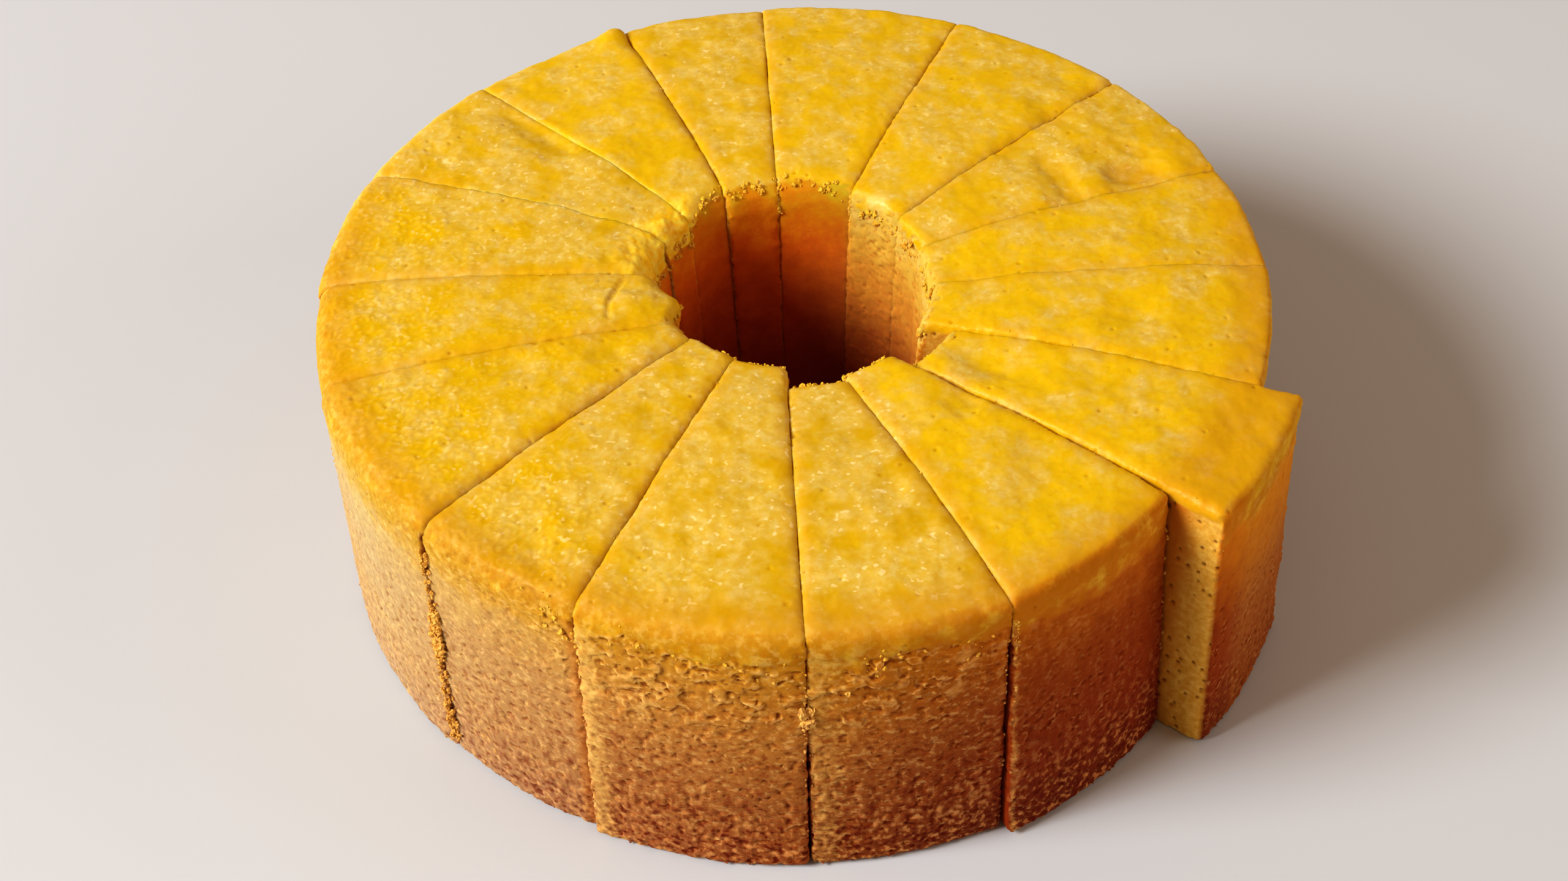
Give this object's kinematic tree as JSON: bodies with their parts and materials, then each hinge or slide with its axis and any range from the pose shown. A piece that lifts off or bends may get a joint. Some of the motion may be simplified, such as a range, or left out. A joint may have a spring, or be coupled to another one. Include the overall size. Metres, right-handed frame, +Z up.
{
  "type": "sponge cake",
  "caption": "Tall ring-shaped sponge cake with a golden skin, cut into wedge slices that keep the ring's shape, one of them pulled out a little.",
  "frame": {"origin": "axis of the ring's hole, on the plane that the underside rests on", "axes": "+Z up; -Y towards the front cut; the pulled-out slice points to +X and -Y"},
  "size_m": [0.2497, 0.2497, 0.0859],
  "materials": {
    "sponge": "soft golden sponge, slightly glossy top skin, matte porous sides"
  },
  "bodies": {
    "root": {"slice_01": "sponge", "slice_02": "sponge", "slice_03": "sponge", "slice_04": "sponge", "slice_05": "sponge", "slice_06": "sponge", "slice_07": "sponge", "slice_08": "sponge", "slice_09": "sponge", "slice_10": "sponge", "slice_11": "sponge", "slice_12": "sponge", "slice_13": "sponge", "slice_14": "sponge", "slice_15": "sponge", "slice_16": "sponge"}
  },
  "joints": []
}
